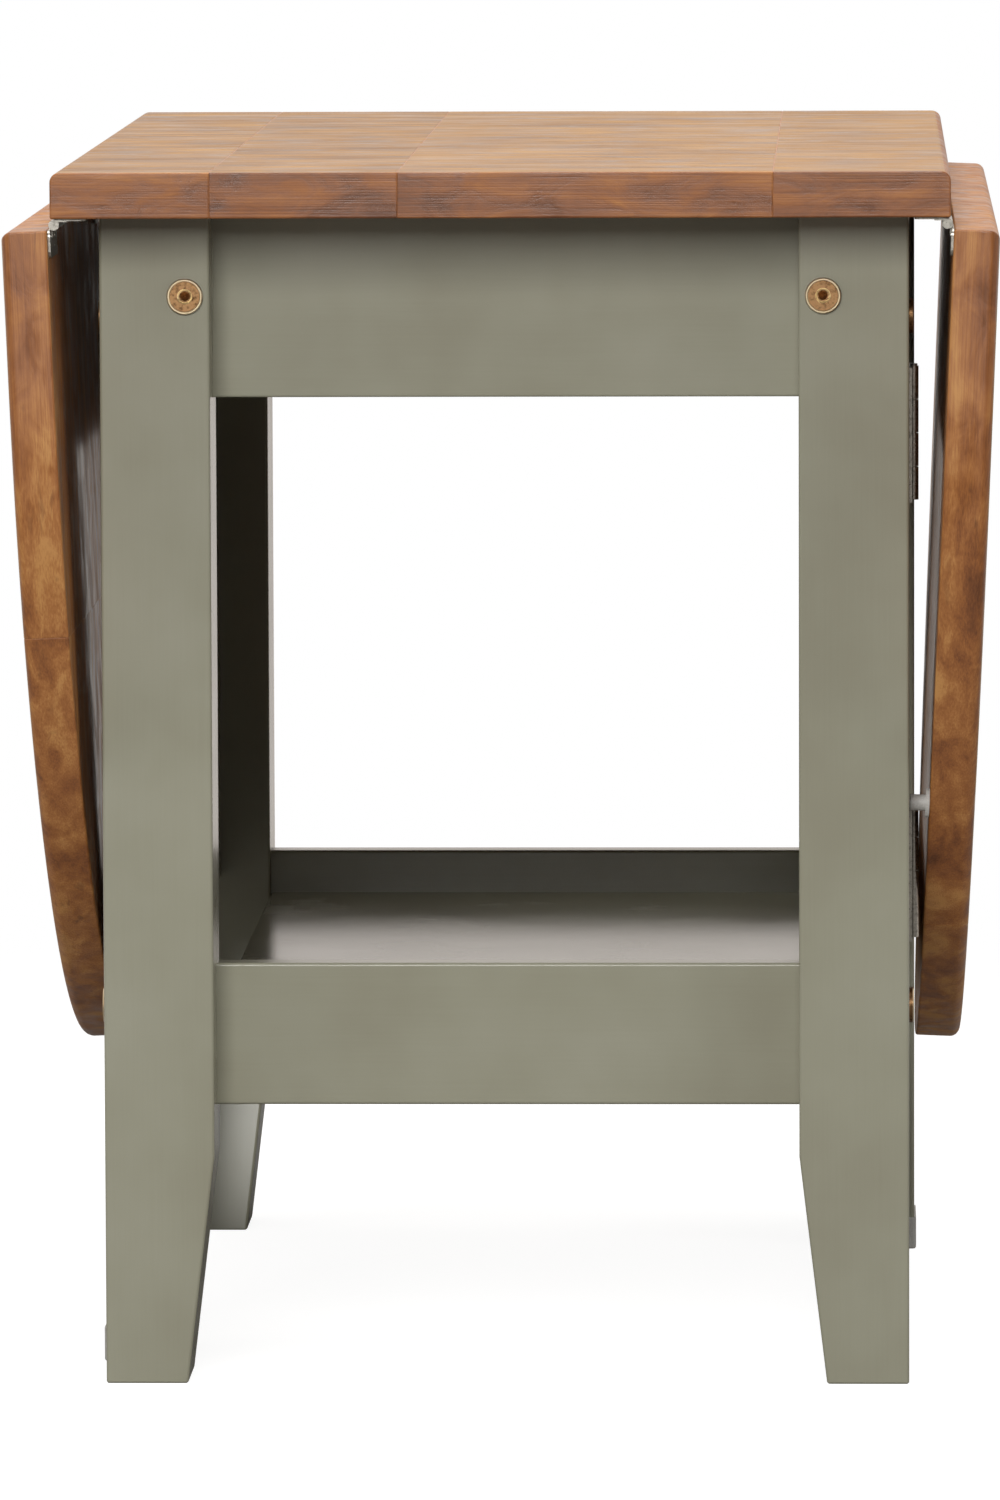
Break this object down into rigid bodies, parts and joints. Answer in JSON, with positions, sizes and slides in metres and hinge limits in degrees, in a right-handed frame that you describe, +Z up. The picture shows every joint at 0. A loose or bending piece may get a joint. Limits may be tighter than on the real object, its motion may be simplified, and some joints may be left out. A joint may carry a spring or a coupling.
{
  "type": "gateleg table",
  "caption": "Drop-leaf dining table with hanging half-round leaves, hinged gate legs behind them, a narrow painted frame with tapered legs and a low shelf.",
  "frame": {"origin": "on the floor, under the middle of the table top", "axes": "+Z up, +X across the table towards a leaf, +Y along the fixed top"},
  "size_m": [0.6044, 0.886, 0.75],
  "materials": {
    "stained_wood": "satin",
    "sage_paint": "satin paint",
    "shelf_paint": "semi-gloss paint",
    "beech": "raw",
    "yellow_zinc": "yellow zinc plated",
    "zinc_steel": "zinc plated",
    "nickel_steel": "nickel plated",
    "grey_plastic": "moulded"
  },
  "bodies": {
    "frame": {"fixed_top": "stained_wood", "front_right_leg": "sage_paint", "rear_left_leg": "sage_paint", "rear_right_leg": "sage_paint", "front_left_leg": "sage_paint", "front_apron": "sage_paint", "rear_apron": "sage_paint", "right_side_apron": "sage_paint", "left_side_apron": "sage_paint", "front_stretcher": "sage_paint", "rear_stretcher": "sage_paint", "shelf": "shelf_paint", "front_shelf_cleat": "sage_paint", "rear_shelf_cleat": "sage_paint", "shelf_cleat_screws": "zinc_steel", "end_face_bolts": "yellow_zinc", "apron_bolts": "yellow_zinc", "stretcher_bolts": "yellow_zinc", "threaded_inserts": "zinc_steel", "frame_dowels": "beech", "top_brackets": "zinc_steel", "top_bracket_screws": "zinc_steel", "right_top_hinge_plates": "nickel_steel", "right_top_hinge_screws": "zinc_steel", "right_leaf_hinge_pins": "nickel_steel", "right_leg_hinge_plates": "nickel_steel", "right_leg_hinge_screws": "zinc_steel", "right_gate_hinge_pins": "nickel_steel", "left_top_hinge_plates": "nickel_steel", "left_top_hinge_screws": "zinc_steel", "left_leaf_hinge_pins": "nickel_steel", "left_leg_hinge_plates": "nickel_steel", "left_leg_hinge_screws": "zinc_steel", "left_gate_hinge_pins": "nickel_steel"},
    "right_leaf": {"right_leaf": "stained_wood", "right_leaf_bumper": "grey_plastic", "right_leaf_hinge_plates": "nickel_steel", "right_leaf_hinge_screws": "zinc_steel"},
    "right_gate": {"right_gate_stile": "sage_paint", "right_gate_leg": "sage_paint", "right_gate_top_rail": "sage_paint", "right_gate_bottom_rail": "sage_paint", "right_gate_dowels": "beech", "right_gate_foot_cap": "grey_plastic", "right_gate_hinge_plates": "nickel_steel", "right_gate_hinge_screws": "zinc_steel"},
    "left_leaf": {"left_leaf": "stained_wood", "left_leaf_bumper": "grey_plastic", "left_leaf_hinge_plates": "nickel_steel", "left_leaf_hinge_screws": "zinc_steel"},
    "left_gate": {"left_gate_stile": "sage_paint", "left_gate_leg": "sage_paint", "left_gate_top_rail": "sage_paint", "left_gate_bottom_rail": "sage_paint", "left_gate_dowels": "beech", "left_gate_foot_cap": "grey_plastic", "left_gate_hinge_plates": "nickel_steel", "left_gate_hinge_screws": "zinc_steel"}
  },
  "joints": [
    {"name": "right_leaf_hinge", "type": "hinge", "parent": "frame", "child": "right_leaf", "pos_m": [0.2705, 0, 0.718], "axis": [0, -1, 0], "range_deg": [0, 92.3]},
    {"name": "left_leaf_hinge", "type": "hinge", "parent": "frame", "child": "left_leaf", "pos_m": [-0.2705, 0, 0.718], "axis": [0, 1, 0], "range_deg": [0, 92.3]},
    {"name": "right_gate_hinge", "type": "hinge", "parent": "frame", "child": "right_gate", "pos_m": [0.2507, -0.3064, 0.3], "axis": [0, 0, -1], "range_deg": [-0.8, 0.1]},
    {"name": "left_gate_hinge", "type": "hinge", "parent": "frame", "child": "left_gate", "pos_m": [-0.2507, 0.3064, 0.3], "axis": [0, 0, -1], "range_deg": [-0.8, 0.1]}
  ]
}
